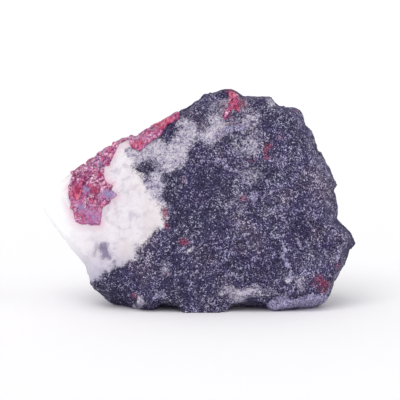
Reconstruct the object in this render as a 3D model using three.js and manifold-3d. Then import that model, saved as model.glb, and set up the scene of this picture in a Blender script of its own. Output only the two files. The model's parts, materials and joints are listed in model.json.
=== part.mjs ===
// Cinnabar on matrix: a broken hand specimen of dark dolostone with a white calcite end,
// a crust of cinnabar crystals grown over its upper left shoulder and a small patch on its crest.
//
// Shapes are worked out in the frame of the broken front face: x to the right, y up the face and
// z straight out of it, in millimetres. The specimen group then stands the stone on its base, +Z up.

import * as THREE from 'three';
import Module from 'manifold-3d';
import { mergeVertices } from 'three/addons/utils/BufferGeometryUtils.js';
import { ImprovedNoise } from 'three/addons/math/ImprovedNoise.js';
import { MeshSurfaceSampler } from 'three/addons/math/MeshSurfaceSampler.js';

const wasm = await Module();
wasm.setup();

// ---------------------------------------------------------------- driving dimensions

const LEAN = THREE.MathUtils.degToRad( 8 ); // the front face leans back this far from upright
const BASE_HEIGHT = 1.4; // height of the flat broken base along the upright, in the face frame
const HEART = new THREE.Vector2( 0, 20 ); // point of the front face that the whole outline is seen from

const CELLS = { across: 28, up: 21, deep: 9 }; // facets of the stone, about 2 mm wide
const GIRTH = 0.7; // where the stone is widest, from 0 at its back to 1 at its front
const BACK_TAPER = 5.5; // how far the sides draw in towards the back
const TAPER_CURVE = 1.9; // the higher, the later the sides draw in
const BEVEL_CURVE = 1.6;
const BEVEL_LUMPS = 0.3; // share of the sides' lumps that the front bevel has
const BEYOND = 60; // further than the stone reaches from anywhere inside it

// Lumps of the broken surfaces: [ height, distance apart, seed ].
const SIDE_LUMPS = [ 0.9, 8, 3.7 ];
const TAPER_LUMPS = [ 2.5, 14, 8.1 ];
const FRONT_LUMPS = [ [ 0.5, 9, 1.3 ], [ 0.35, 3.6, 5.9 ] ];
const BACK_LUMPS = [ [ 0.9, 10, 2.2 ], [ 0.45, 4, 7.4 ] ];

const SEAM = 0.3; // clearance between the cinnabar and the stone
const FLOOR_SEAM = 0.48; // clearance under the cinnabar, along the way that it is sunk
const SKIN_DEPTH = 0.35; // how far the cinnabar's massive skin lies under the tips of its crystals
const CRUST_DEPTH = 1.9; // depth of the hollow in which the crust has grown
const PATCH_DEPTH = 1.5;
const PATCH_BACK = 3.5; // the patch ends here on the top of the stone
const CRUST_INWARD = new THREE.Vector3( 0.42, - 0.78, - 0.44 ); // the way that the crust is sunk
const PATCH_INWARD = new THREE.Vector3( 0, - 0.5, - 0.85 );

// Outline of the stone, clockwise from the lower left corner.
const OUTLINE = [
	[ - 22.3, 3.6 ], [ - 22.4, 6.3 ], [ - 23.2, 9.0 ], [ - 27.7, 14.0 ], [ - 31.4, 18.2 ],
	[ - 32.6, 20.7 ], [ - 31.2, 23.3 ], [ - 29.0, 25.8 ], [ - 22.9, 30.2 ], [ - 19.5, 32.8 ], [ - 15.6, 35.2 ],
	[ - 12.8, 35.3 ], [ - 9.1, 37.6 ], [ - 5.0, 40.2 ], [ - 2.9, 41.0 ], [ - 0.2, 43.4 ], [ 2.3, 44.5 ],
	[ 5.0, 45.1 ], [ 6.4, 44.8 ], [ 8.5, 43.4 ], [ 12.1, 43.6 ], [ 13.6, 44.0 ], [ 14.7, 43.6 ],
	[ 15.8, 41.4 ], [ 19.6, 41.3 ], [ 20.4, 40.6 ], [ 21.3, 37.4 ], [ 22.8, 36.0 ], [ 24.3, 32.5 ],
	[ 26.5, 29.2 ], [ 28.5, 25.3 ], [ 27.3, 24.1 ], [ 28.3, 21.0 ], [ 27.9, 17.9 ], [ 31.8, 14.3 ],
	[ 31.6, 13.3 ], [ 30.1, 11.7 ], [ 29.3, 8.9 ], [ 27.3, 6.2 ], [ 26.3, 3.1 ], [ 25.2, 1.5 ],
	[ 23.5, 0.7 ], [ 15.4, - 1.2 ], [ 13.3, 0.0 ], [ 9.6, 0.6 ], [ 6.4, 0.5 ], [ 4.4, - 1.6 ],
	[ - 2.8, - 1.6 ], [ - 4.8, 0.4 ], [ - 8.0, 0.8 ], [ - 9.6, - 0.7 ], [ - 14.6, - 1.5 ], [ - 16.2, 0.3 ],
	[ - 21.0, 2.0 ],
];

// How far the front face stops short of the outline, by place along the outline:
// [ x, y, width of the bevel ]; between these places the width changes evenly with distance.
const BEVELS = [
	[ - 31.0, 20.0, 1.2 ], [ - 22.0, 8.0, 1.6 ], [ - 17.0, 2.0, 3.4 ], [ 0.0, 0.0, 0.6 ], [ 18.0, 1.0, 1.8 ],
	[ 28.0, 8.0, 1.6 ], [ 31.5, 14.4, 2.6 ], [ 27.0, 27.0, 3.4 ], [ 22.0, 37.0, 2.6 ], [ 14.0, 43.5, 1.2 ],
	[ 5.0, 44.5, 0.8 ], [ - 8.0, 37.5, 0.8 ], [ - 20.0, 32.0, 0.8 ], [ - 27.0, 27.0, 0.8 ],
];

// Broken planes of the front and of the back: [ x, y, z of a point, slope along x, slope along y ].
const FRONT_PLANES = [
	[ 0, 17, 14.0, - 0.02, - 0.22 ],
	[ 0, 17, 14.0, 0.00, 0.10 ],
	[ - 9, 20, 13.2, 0.42, 0.00 ],
	[ - 26, 27, 4.5, 0.36, - 0.60 ],
	[ 16, 20, 12.5, - 0.30, - 0.05 ],
	[ 10, 34, 12.0, - 0.10, - 0.35 ],
	[ - 21, 5, 9.5, 0.55, 0.70 ],
];
const BACK_PLANES = [
	[ 0, 20, - 15.4, 0.04, 0.06 ],
	[ - 10, 20, - 14.4, - 0.38, 0.05 ],
	[ 14, 20, - 14.9, 0.42, - 0.04 ],
	[ 0, 28, - 14.9, 0.08, 0.50 ],
	[ 0, 9, - 15.4, 0.05, - 0.30 ],
];

// Flat fractures round the sides and the back: a point of each plane and the direction it faces.
const FRACTURES = [
	[ [ 29.3, 14.0, 0.0 ], [ 0.82, - 0.05, - 0.57 ] ],
	[ [ 22.4, 31.5, 0.0 ], [ 0.76, 0.38, - 0.53 ] ],
	[ [ 25.6, 7.0, 0.0 ], [ 0.75, - 0.40, - 0.53 ] ],
	[ [ 10.0, 42.0, - 0.5 ], [ 0.10, 0.79, - 0.60 ] ],
	[ [ - 1.0, 39.6, - 3.0 ], [ - 0.30, 0.70, - 0.65 ] ],
	[ [ - 26.7, 15.9, 0.0 ], [ - 0.68, - 0.49, - 0.54 ] ],
	[ [ - 21.0, 24.0, - 7.5 ], [ - 0.62, 0.30, - 0.73 ] ],
	[ [ 0.0, 20.0, - 14.3 ], [ 0.10, 0.04, - 1.00 ] ],
	[ [ - 13.0, 17.0, - 13.0 ], [ - 0.45, - 0.06, - 0.89 ] ],
	[ [ 14.0, 26.0, - 12.8 ], [ 0.40, 0.32, - 0.86 ] ],
	[ [ 6.0, 6.0, - 13.4 ], [ 0.12, - 0.40, - 0.91 ] ],
	[ [ - 6.0, 31.0, - 12.4 ], [ - 0.22, 0.42, - 0.88 ] ],
];

// Areas of the face where a thin layer has come away: its thickness, and the outline of the area.
const LEDGES = [
	[ 0.6, [
		[ - 2.6, 31.0 ], [ 1.2, 29.8 ], [ 4.7, 28.1 ], [ 7.5, 26.2 ], [ 9.5, 23.4 ], [ 10.5, 20.6 ],
		[ 11.3, 18.2 ], [ 13.9, 17.0 ], [ 17.4, 18.1 ], [ 21.8, 13.4 ], [ 26.2, 8.2 ], [ 33.9, 6.1 ],
		[ 33.4, 24.8 ], [ 25.8, 41.5 ], [ 9.4, 47.0 ], [ - 0.2, 45.1 ], [ - 1.5, 37.8 ], [ - 4.1, 34.4 ],
	] ],
	[ 0.8, [ [ 18.1, 17.8 ], [ 21.3, 18.4 ], [ 23.5, 17.0 ], [ 24.8, 13.4 ], [ 23.0, 11.1 ], [ 19.8, 14.0 ] ] ],
	[ 1.0, [ [ 4.8, 3.4 ], [ 9.1, 2.6 ], [ 14.7, 2.7 ], [ 20.1, 3.4 ], [ 23.0, - 6.1 ], [ 2.6, - 5.8 ] ] ],
	[ 1.1, [ [ - 24, 5.5 ], [ - 18.6, 4.8 ], [ - 15.3, 4.1 ], [ - 12.9, 2.2 ], [ - 11, - 5.5 ], [ - 24, - 5.3 ] ] ],
	[ 0.7, [ [ - 20.9, 13.4 ], [ - 18.5, 12.7 ], [ - 17.6, 10.3 ], [ - 19.3, 9.3 ], [ - 21.5, 10.7 ] ] ],
	[ 0.6, [ [ - 12.8, 30.4 ], [ - 10.4, 30.6 ], [ - 9.7, 28.2 ], [ - 11.6, 27.2 ], [ - 13.1, 28.4 ] ] ],
	[ 0.7, [ [ 24.4, 33.7 ], [ 22.6, 32.2 ], [ 24.3, 26.6 ], [ 25.7, 20.1 ], [ 33.5, 18.5 ], [ 33.1, 35.1 ] ] ],
];

// Outline of the cinnabar crust on the face; its upper side runs out past the edge of the stone.
const CRUST_OUTLINE = [
	[ - 4.1, 39.6 ], [ - 4.0, 38.2 ], [ - 6.5, 37.0 ], [ - 8.0, 34.7 ], [ - 9.6, 33.7 ], [ - 12.2, 31.5 ],
	[ - 14.1, 32.6 ], [ - 14.6, 34.2 ], [ - 16.2, 33.4 ], [ - 16.7, 32.2 ], [ - 17.5, 30.3 ],
	[ - 18.1, 28.7 ], [ - 18.9, 28.7 ], [ - 19.1, 27.1 ], [ - 18.8, 26.0 ], [ - 17.1, 25.0 ],
	[ - 17.4, 24.1 ], [ - 16.3, 22.9 ], [ - 17.7, 21.7 ], [ - 17.8, 21.0 ], [ - 19.2, 20.4 ],
	[ - 19.4, 19.2 ], [ - 19.8, 16.7 ], [ - 24.3, 17.0 ], [ - 25.2, 17.6 ], [ - 26.0, 19.9 ],
	[ - 26.6, 22.2 ], [ - 26.7, 24.7 ], [ - 26.1, 27.0 ], [ - 29.3, 30.6 ], [ - 23.8, 35.1 ],
	[ - 15.8, 39.1 ], [ - 8.7, 42.1 ], [ - 4.6, 42.0 ],
];
// The band that it covers over the edge, behind CRUST_EDGE_DEPTH.
const CRUST_EDGE_DEPTH = 1.5;
const CRUST_EDGE = [
	[ - 28.5, 27.9 ], [ - 25.1, 22.3 ], [ - 16.5, 27.1 ], [ - 8.5, 31.1 ], [ - 3.5, 34.3 ], [ - 4.8, 42.0 ],
	[ - 8.7, 42.1 ], [ - 15.8, 39.1 ], [ - 23.8, 35.1 ], [ - 29.3, 30.6 ],
];
// Where the crust ends on the far side of the edge, from the left: [ x, z ].
const CRUST_BACK = [
	[ - 34, 1 ], [ - 30, 0 ], [ - 26.5, - 2.6 ], [ - 24, - 2.2 ], [ - 21.5, - 4.8 ], [ - 18.6, - 3.4 ],
	[ - 15.6, - 5.2 ], [ - 12.2, - 5.6 ], [ - 9.8, - 3.2 ], [ - 7, - 2.8 ], [ - 4.4, - 0.4 ], [ 0, 1 ],
];
const CRUST_BACK_MARGIN = 1; // no small crystal sits nearer to that end
const PATCH_OUTLINE = [
	[ 5.7, 47.0 ], [ 7.8, 47.0 ], [ 8.0, 42.7 ], [ 8.1, 39.7 ], [ 7.3, 39.3 ], [ 6.6, 40.0 ],
	[ 6.1, 39.2 ], [ 5.7, 37.8 ], [ 4.3, 37.8 ], [ 4.3, 39.5 ], [ 5.3, 40.5 ], [ 5.5, 42.6 ],
];

// Single crystals that stand out of the crust:
// [ x, y, size across, length along, height of its top over the stone's face, turn and tilt in degrees ].
const MAIN_CRYSTALS = [
	[ - 22.1, 23.7, 2.6, 3.0, 0.35, 20, 8 ],
	[ - 23.1, 20.7, 2.4, 2.6, 0.3, - 25, - 6 ],
	[ - 18.4, 22.8, 2.0, 4.4, 0.45, 96, 5 ],
	[ - 20.3, 30.4, 1.9, 4.6, 0.3, 12, - 5 ],
	[ - 20.7, 19.1, 4.4, 4.0, 0.2, 8, 3 ],
	[ - 19.1, 26.7, 2.2, 2.8, 0.2, 40, 9 ],
	[ - 24.2, 25.6, 2.1, 2.7, 0.3, - 35, 10 ],
	[ - 17.0, 32.5, 1.8, 2.8, 0.2, 60, - 8 ],
	[ - 13.0, 33.3, 2.0, 3.4, 0.25, 75, 7 ],
	[ - 10.0, 35.3, 1.8, 2.8, 0.2, 55, - 6 ],
	[ - 6.4, 38.1, 1.6, 2.6, 0.15, 40, 6 ],
];
const MAIN_FACING = new THREE.Vector3( - 0.25, 0.35, 1 ).normalize();
const MAIN_THICKNESS = 1.6;
const CRYSTAL_TILT = 0.3; // radians
const CRYSTAL_HEIGHTS = [ - 0.25, 0.2 ]; // of the tops of small crystals over the stone's surface
const CRYSTAL_SLIMNESS = 1.5; // length of the slimmest small crystal, to its width
const CRYSTAL_THICKNESS = 0.7;
const CRYSTAL_REACH = 0.4; // nothing stands further out of the stone's surface
const SMALL_CRYSTALS = { count: 76, smallest: 1.4, largest: 3.2 };
const PATCH_CRYSTALS = { count: 14, smallest: 0.8, largest: 1.5 };

const STONE_LOOK = { color: 0x5d566f, roughness: 0.8, metalness: 0.0 };
const CINNABAR_LOOK = { color: 0xa8325a, roughness: 0.3, metalness: 0.0 };

// ---------------------------------------------------------------- helpers

const noise = new ImprovedNoise();
const upright = new THREE.Vector3( 0, Math.cos( LEAN ), Math.sin( LEAN ) );

// Height of a point on smooth lumps, from minus `height` to `height`, `size` millimetres apart.
function lumps( point, [ height, size, seed ] ) {

	return height * noise.noise( point.x / size + seed, point.y / size - seed, point.z / size + 2 * seed );

}

function summedLumps( point, kinds ) {

	return kinds.reduce( ( sum, kind ) => sum + lumps( point, kind ), 0 );

}

// A repeatable stream of numbers from 0 to 1.
function randomStream( seed ) {

	let state = seed;
	return () => {

		state = ( Math.imul( state, 1664525 ) + 1013904223 ) >>> 0;
		return state / 4294967296;

	};

}

function toVectors( pairs ) {

	return pairs.map( ( [ x, y ] ) => new THREE.Vector2( x, y ) );

}

function toSolid( geometry ) {

	const bare = geometry.clone();
	bare.deleteAttribute( 'normal' );
	bare.deleteAttribute( 'uv' );
	const merged = mergeVertices( bare, 1e-4 );
	const mesh = new wasm.Mesh( {
		numProp: 3,
		vertProperties: new Float32Array( merged.getAttribute( 'position' ).array ),
		triVerts: new Uint32Array( merged.index.array ),
	} );
	return new wasm.Manifold( mesh );

}

function toGeometry( solid ) {

	const { vertProperties, triVerts } = solid.getMesh();
	const geometry = new THREE.BufferGeometry();
	geometry.setAttribute( 'position', new THREE.BufferAttribute( new Float32Array( vertProperties ), 3 ) );
	geometry.setIndex( Array.from( triVerts ) );
	return geometry;

}

// The biggest of the separate lumps that a cut has left.
function biggestLump( solid ) {

	return solid.decompose().reduce( ( best, lump ) => ( lump.volume() > best.volume() ? lump : best ) );

}

function isInside( outline, x, y ) {

	let inside = false;
	outline.forEach( ( [ ax, ay ], i ) => {

		const [ bx, by ] = outline[ ( i + 1 ) % outline.length ];
		const crosses = ( ay > y ) !== ( by > y ) && x < ax + ( bx - ax ) * ( y - ay ) / ( by - ay );
		if ( crosses ) inside = ! inside;

	} );
	return inside;

}

// The same outline with every corner moved inwards by `distance`.
function insetOutline( outline, distance ) {

	const corners = toVectors( outline );
	const sense = THREE.ShapeUtils.isClockWise( corners ) ? 1 : - 1;
	return corners.map( ( corner, i ) => {

		const before = corners[ ( i + corners.length - 1 ) % corners.length ];
		const after = corners[ ( i + 1 ) % corners.length ];
		const into = corner.clone().sub( before ).normalize();
		const away = after.clone().sub( corner ).normalize();
		const half = into.add( away ).normalize();
		return [ corner.x + sense * half.y * distance, corner.y - sense * half.x * distance ];

	} );

}

// A column with an outline on the face, from one depth to another.
function columnThrough( outline, from, to ) {

	const shape = new THREE.Shape( toVectors( outline ) );
	const column = new THREE.ExtrudeGeometry( shape, { depth: to - from, bevelEnabled: false } );
	column.translate( 0, 0, from );
	return toSolid( column );

}

// ---------------------------------------------------------------- the stone

// Points spread evenly along a closed outline, with the nearest one moved onto each corner.
function spreadAlong( outline, count ) {

	const corners = toVectors( outline );
	const path = new THREE.Path( [ ...corners, corners[ 0 ] ] );
	const points = path.getSpacedPoints( count ).slice( 0, count );
	for ( const corner of corners ) {

		const nearest = points.reduce( ( best, point ) =>
			( point.distanceTo( corner ) < best.distanceTo( corner ) ? point : best ) );
		nearest.copy( corner );

	}

	return points;

}

// The same points with every notch evened out.
function evenedOut( points, passes ) {

	if ( passes === 0 ) return points;
	const next = points.map( ( point, i ) => {

		const before = points[ ( i + points.length - 1 ) % points.length ];
		const after = points[ ( i + 1 ) % points.length ];
		return before.clone().add( after ).lerp( point.clone().multiplyScalar( 2 ), 0.5 ).multiplyScalar( 0.5 );

	} );
	return evenedOut( next, passes - 1 );

}

// Place along the rim of the square face of the block, in cells, clockwise from its lower left corner.
function rimPlace( a, b ) {

	const { across, up } = CELLS;
	const out = Math.max( Math.abs( a ), Math.abs( b ) );
	if ( out === 0 ) return 0;
	if ( - a === out ) return ( b / out + 1 ) / 2 * up;
	if ( b === out ) return up + ( a / out + 1 ) / 2 * across;
	if ( a === out ) return up + across + ( 1 - b / out ) / 2 * up;
	return 2 * up + across + ( 1 - a / out ) / 2 * across;

}

function rimPoint( rim, place ) {

	const whole = Math.floor( place );
	const from = rim[ whole % rim.length ];
	const to = rim[ ( whole + 1 ) % rim.length ];
	return from.clone().lerp( to, place - whole );

}

function bevelWidth( point ) {

	let total = 0;
	let weights = 0;
	for ( const [ x, y, width ] of BEVELS ) {

		const weight = 1 / ( 1 + point.distanceToSquared( new THREE.Vector2( x, y ) ) ) ** 2;
		total += weight * width;
		weights += weight;

	}

	return total / weights;

}

// How far the side of the stone lies inside its outline, at a share of its depth from the back.
function sideInset( edge, share, bevel ) {

	const forward = Math.max( 0, share - GIRTH ) / ( 1 - GIRTH );
	const backward = Math.max( 0, GIRTH - share ) / GIRTH;
	const taper = BACK_TAPER + lumps( new THREE.Vector3( edge.x, edge.y, 0 ), TAPER_LUMPS );
	const rough = SIDE_LUMPS[ 0 ] + lumps( new THREE.Vector3( edge.x, edge.y, 30 * share ), SIDE_LUMPS );
	const drawnIn = bevel * forward ** BEVEL_CURVE + taper * backward ** TAPER_CURVE;
	return drawnIn + rough * Math.max( forward * BEVEL_LUMPS, backward );

}

function planeDepths( planes, x, y ) {

	return planes.map( ( [ px, py, pz, alongX, alongY ] ) => pz + alongX * ( x - px ) + alongY * ( y - py ) );

}

function faceDepth( x, y ) {

	const lumpy = summedLumps( new THREE.Vector3( x, y, 0 ), FRONT_LUMPS );
	return Math.min( ...planeDepths( FRONT_PLANES, x, y ) ) + lumpy;

}

function backDepth( x, y ) {

	const lumpy = summedLumps( new THREE.Vector3( x, y, 40 ), BACK_LUMPS );
	return Math.max( ...planeDepths( BACK_PLANES, x, y ) ) + lumpy;

}

// A block of even cells, drawn in to the outline and between the broken planes.
function stoneBlock() {

	const { across, up, deep } = CELLS;
	const box = new THREE.BoxGeometry( 2, 2, 2, across, up, deep );
	box.deleteAttribute( 'normal' );
	box.deleteAttribute( 'uv' );
	const block = mergeVertices( box );
	const rim = spreadAlong( OUTLINE, 2 * ( across + up ) );
	const backRim = evenedOut( rim, 8 );
	const places = block.getAttribute( 'position' );
	for ( let i = 0; i < places.count; i ++ ) {

		const a = places.getX( i );
		const b = places.getY( i );
		const share = ( places.getZ( i ) + 1 ) / 2;
		const place = rimPlace( a, b );
		const backward = Math.max( 0, 1 - share / GIRTH );
		const edge = rimPoint( rim, place ).lerp( rimPoint( backRim, place ), backward );
		const reach = edge.distanceTo( HEART );
		const kept = 1 - sideInset( edge, share, bevelWidth( edge ) ) / reach;
		const spot = HEART.clone().lerp( edge, kept * Math.max( Math.abs( a ), Math.abs( b ) ) );
		const depth = THREE.MathUtils.lerp( backDepth( spot.x, spot.y ), faceDepth( spot.x, spot.y ), share );
		places.setXYZ( i, spot.x, spot.y, depth );

	}

	return toSolid( block );

}

// Takes a layer of even thickness off the face inside an outline.
function withoutLayer( stone, [ thickness, outline ] ) {

	const below = stone.translate( [ 0, 0, - thickness ] );
	return stone.subtract( columnThrough( outline, 0, BEYOND ).subtract( below ) );

}

function fractured( stone, [ point, facing ] ) {

	const inward = new THREE.Vector3( ...facing ).normalize().negate();
	return stone.trimByPlane( inward.toArray(), inward.dot( new THREE.Vector3( ...point ) ) );

}

function makeStone() {

	const broken = FRACTURES.reduce( fractured, stoneBlock() );
	const stepped = LEDGES.reduce( withoutLayer, broken );
	return biggestLump( stepped.trimByPlane( upright.toArray(), BASE_HEIGHT ) );

}

// ---------------------------------------------------------------- cinnabar

// Everything in front of a ragged margin [ x, z ] that runs across the back of the crust.
function frontOf( margin, gap ) {

	const limit = margin.map( ( [ x, z ] ) => new THREE.Vector2( x, z + gap ) );
	const ends = [ limit.at( - 1 ), limit[ 0 ] ].map( ( end ) => new THREE.Vector2( end.x, BEYOND ) );
	const shape = new THREE.Shape( [ ...limit, ...ends ] );
	const slab = new THREE.ExtrudeGeometry( shape, { depth: BEYOND, bevelEnabled: false } );
	slab.rotateX( Math.PI / 2 );
	slab.translate( 0, BEYOND, 0 );
	return toSolid( slab );

}

// Moves a crystal down until its top is at height zero, where it is then placed by.
function hungByTop( crystal ) {

	crystal.computeBoundingBox();
	return crystal.translate( 0, 0, - crystal.boundingBox.max.z );

}

// Turns the diagonal of a cube or an octahedron upright, along z.
function stoodOnDiagonal( crystal ) {

	const diagonal = new THREE.Vector3( 1, 1, 1 ).normalize();
	const turn = new THREE.Quaternion().setFromUnitVectors( diagonal, new THREE.Vector3( 0, 0, 1 ) );
	return crystal.applyQuaternion( turn );

}

// A rhombohedron that ends in a point of three faces.
function rhombohedron() {

	return hungByTop( stoodOnDiagonal( new THREE.BoxGeometry( 1, 1, 1 ) ) );

}

// A rhombohedron cut off square at both ends: eight faces, with a triangle on top.
function cutRhombohedron() {

	return hungByTop( stoodOnDiagonal( new THREE.OctahedronGeometry( 0.8 ) ) );

}

// A thick tabular crystal: a six-sided plate with bevelled edges, its flat face on top.
function plate() {

	return hungByTop( new THREE.CylinderGeometry( 0.46, 0.60, 1, 6 ).rotateX( Math.PI / 2 ) );

}

function placedCrystal( form, top, outward, { spin, tilt, sizes } ) {

	const turn = new THREE.Quaternion().setFromUnitVectors( new THREE.Vector3( 0, 0, 1 ), outward );
	const own = new THREE.Quaternion().setFromEuler( new THREE.Euler( tilt, - 0.6 * tilt, spin, 'ZYX' ) );
	const matrix = new THREE.Matrix4().compose( top, turn.multiply( own ), new THREE.Vector3( ...sizes ) );
	return toSolid( form.clone().applyMatrix4( matrix ) );

}

// Small crystals strewn over the part of the stone's surface that `covers` accepts.
function strewnCrystals( stone, covers, { count, smallest, largest }, seed ) {

	const surface = toGeometry( stone ).toNonIndexed();
	surface.computeVertexNormals();
	const random = randomStream( seed );
	const between = THREE.MathUtils.lerp;
	const sampler = new MeshSurfaceSampler( new THREE.Mesh( surface ) ).setRandomGenerator( random ).build();
	const forms = [ cutRhombohedron(), rhombohedron(), plate(), cutRhombohedron() ];
	const crystals = [];
	const point = new THREE.Vector3();
	const outward = new THREE.Vector3();
	while ( crystals.length < count ) {

		sampler.sample( point, outward );
		if ( ! covers( point ) ) continue;
		const size = between( smallest, largest, random() );
		const top = point.clone().addScaledVector( outward, between( ...CRYSTAL_HEIGHTS, random() ) );
		crystals.push( placedCrystal( forms[ crystals.length % forms.length ], top, outward, {
			spin: random() * 2 * Math.PI,
			tilt: between( - CRYSTAL_TILT, CRYSTAL_TILT, random() ),
			sizes: [ size, size * between( 1, CRYSTAL_SLIMNESS, random() ), size * CRYSTAL_THICKNESS ],
		} ) );

	}

	return crystals;

}

function mainCrystals() {

	return MAIN_CRYSTALS.map( ( [ x, y, across, along, height, turn, tilt ] ) => {

		const top = new THREE.Vector3( x, y, faceDepth( x, y ) + height );
		return placedCrystal( plate(), top, MAIN_FACING, {
			spin: THREE.MathUtils.degToRad( turn ),
			tilt: THREE.MathUtils.degToRad( tilt ),
			sizes: [ across, along, MAIN_THICKNESS ],
		} );

	} );

}

// The room that the crust takes up, with a clearance of `gap` all round it.
function crustRoom( gap ) {

	const face = columnThrough( insetOutline( CRUST_OUTLINE, gap ), CRUST_EDGE_DEPTH - gap, BEYOND );
	const edge = columnThrough( insetOutline( CRUST_EDGE, gap ), - BEYOND, CRUST_EDGE_DEPTH - gap );
	return face.add( edge ).intersect( frontOf( CRUST_BACK, gap ) );

}

function patchRoom( gap ) {

	return columnThrough( insetOutline( PATCH_OUTLINE, gap ), PATCH_BACK + gap, BEYOND );

}

// Cuts the hollow for a growth of cinnabar into the stone, and fills it with the growth.
function growInto( stone, whole, { roomWithin, inward, depth, crystals } ) {

	const sunk = ( distance ) => whole.translate( inward.clone().setLength( distance ).toArray() );
	const room = roomWithin( SEAM );
	const carved = stone.subtract( roomWithin( 0 ).subtract( sunk( depth ) ) );
	const skin = sunk( SKIN_DEPTH );
	const growth = wasm.Manifold.union( [ skin.intersect( room ), ...crystals ] );
	const held = growth.intersect( room ).intersect( sunk( - CRYSTAL_REACH ) );
	const fitted = held.subtract( sunk( depth - FLOOR_SEAM ) );
	return { stone: biggestLump( carved ), growth: biggestLump( fitted ) };

}

function crustCovers( point ) {

	const margin = CRUST_BACK.reduce( ( last, corner ) => ( corner[ 0 ] < point.x ? corner : last ) );
	const outline = point.z > CRUST_EDGE_DEPTH ? CRUST_OUTLINE : CRUST_EDGE;
	return isInside( outline, point.x, point.y ) && point.z > margin[ 1 ] + CRUST_BACK_MARGIN;

}

function patchCovers( point ) {

	return point.z > PATCH_BACK && isInside( PATCH_OUTLINE, point.x, point.y );

}

// ---------------------------------------------------------------- assembly

function namedMesh( name, solid, look ) {

	const geometry = toGeometry( solid ).toNonIndexed();
	geometry.computeVertexNormals();
	const mesh = new THREE.Mesh( geometry, new THREE.MeshStandardMaterial( { ...look, flatShading: true } ) );
	mesh.name = name;
	return mesh;

}

const whole = makeStone();
const crust = growInto( whole, whole, {
	roomWithin: crustRoom,
	inward: CRUST_INWARD,
	depth: CRUST_DEPTH,
	crystals: [ ...mainCrystals(), ...strewnCrystals( whole, crustCovers, SMALL_CRYSTALS, 41 ) ],
} );
const patch = growInto( crust.stone, whole, {
	roomWithin: patchRoom,
	inward: PATCH_INWARD,
	depth: PATCH_DEPTH,
	crystals: strewnCrystals( whole, patchCovers, PATCH_CRYSTALS, 7 ),
} );

const specimen = new THREE.Group();
specimen.rotation.x = Math.PI / 2 - LEAN;
specimen.add( namedMesh( 'matrix_stone', patch.stone, STONE_LOOK ) );
specimen.add( namedMesh( 'cinnabar_crust', crust.growth, CINNABAR_LOOK ) );
specimen.add( namedMesh( 'cinnabar_patch', patch.growth, CINNABAR_LOOK ) );

// The origin is at the middle of the floor under the stone.
const bounds = new THREE.Box3().setFromObject( specimen, true );
const middle = bounds.getCenter( new THREE.Vector3() );
specimen.position.set( - middle.x, - middle.y, - bounds.min.z );

const model = new THREE.Group();
model.add( specimen );

export default model;
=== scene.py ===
import json
import math

import bpy
import numpy as np
from bpy.props import FloatProperty, FloatVectorProperty, IntProperty, PointerProperty
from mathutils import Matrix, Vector

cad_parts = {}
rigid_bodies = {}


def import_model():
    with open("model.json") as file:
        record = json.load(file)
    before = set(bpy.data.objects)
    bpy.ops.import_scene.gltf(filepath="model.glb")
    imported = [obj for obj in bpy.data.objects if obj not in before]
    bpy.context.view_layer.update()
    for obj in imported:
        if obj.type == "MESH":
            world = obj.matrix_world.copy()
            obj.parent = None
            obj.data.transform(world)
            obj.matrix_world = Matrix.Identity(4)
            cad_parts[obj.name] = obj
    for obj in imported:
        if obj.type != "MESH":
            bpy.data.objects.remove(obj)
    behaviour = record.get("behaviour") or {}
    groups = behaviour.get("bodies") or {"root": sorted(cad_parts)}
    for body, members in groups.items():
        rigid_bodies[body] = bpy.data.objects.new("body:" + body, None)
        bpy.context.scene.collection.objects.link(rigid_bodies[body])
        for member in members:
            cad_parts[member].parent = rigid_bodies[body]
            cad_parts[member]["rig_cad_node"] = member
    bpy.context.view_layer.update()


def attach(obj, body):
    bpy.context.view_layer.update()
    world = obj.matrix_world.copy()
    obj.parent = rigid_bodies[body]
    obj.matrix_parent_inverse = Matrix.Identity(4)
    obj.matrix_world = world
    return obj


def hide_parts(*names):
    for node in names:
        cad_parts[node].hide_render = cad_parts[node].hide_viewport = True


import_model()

# A broken lump of dark sugary dolostone with milky calcite at its left end. It
# carries a crust of cinnabar on its upper left shoulder and a patch at its crest.

bl_info = {
    "name": "Cinnabar specimen",
    "version": (1, 0, 0),
    "blender": (4, 5, 0),
    "location": "3D View > Sidebar > Specimen",
    "description": "Dresses the cinnabar on matrix specimen and sets its stage",
    "category": "Object",
}

MM = 0.001

# The stone's broken face leans back. Markings are placed on that face in
# millimetres: x to the right, y up the face and z out of it.
LEAN = math.radians(8)
FACE_ORIGIN = np.array([0.320, -2.960, -1.4])


def linear(code):
    """Linear colour of an sRGB hex code. Each channel over 255 is divided by
    12.92 when small, and otherwise is (c + 0.055) / 1.055 to the power 2.4."""
    channels = (int(code[i:i + 2], 16) / 255 for i in (1, 3, 5))
    return tuple(
        c / 12.92 if c <= 0.04045 else ((c + 0.055) / 1.055) ** 2.4 for c in channels
    )


# --- Markings on the face, in millimetres

# Line where the calcite passes into the dolostone, from the top down. It moves
# to the side by the skew for each millimetre that a point is out from the level,
# and the two stones pass into each other over the border's width.
CALCITE_LINE = (
    (-10.5, 49.8), (-10.8, 37.0), (-11.6, 34.6), (-12.9, 33.2), (-13.7, 32.1), (-12.9, 30.7),
    (-13.0, 28.4), (-11.6, 26.3), (-10.8, 23.9), (-9.2, 22.3), (-7.6, 20.7),
    (-7.2, 18.7), (-7.8, 16.8), (-9.7, 15.2), (-10.7, 13.8), (-11.7, 12.1),
    (-13.1, 10.7), (-15.1, 9.3), (-16.7, 8.7), (-18.6, 7.5), (-20.2, 5.9), (-21.7, 4.9),
    (-24.0, 2.2), (-26.0, -17.7),
)
CALCITE_SKEW = 0.25
CALCITE_LEVEL = 11.5
CALCITE_BORDER = 4.0
LINE_FADE = 0.2

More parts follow.
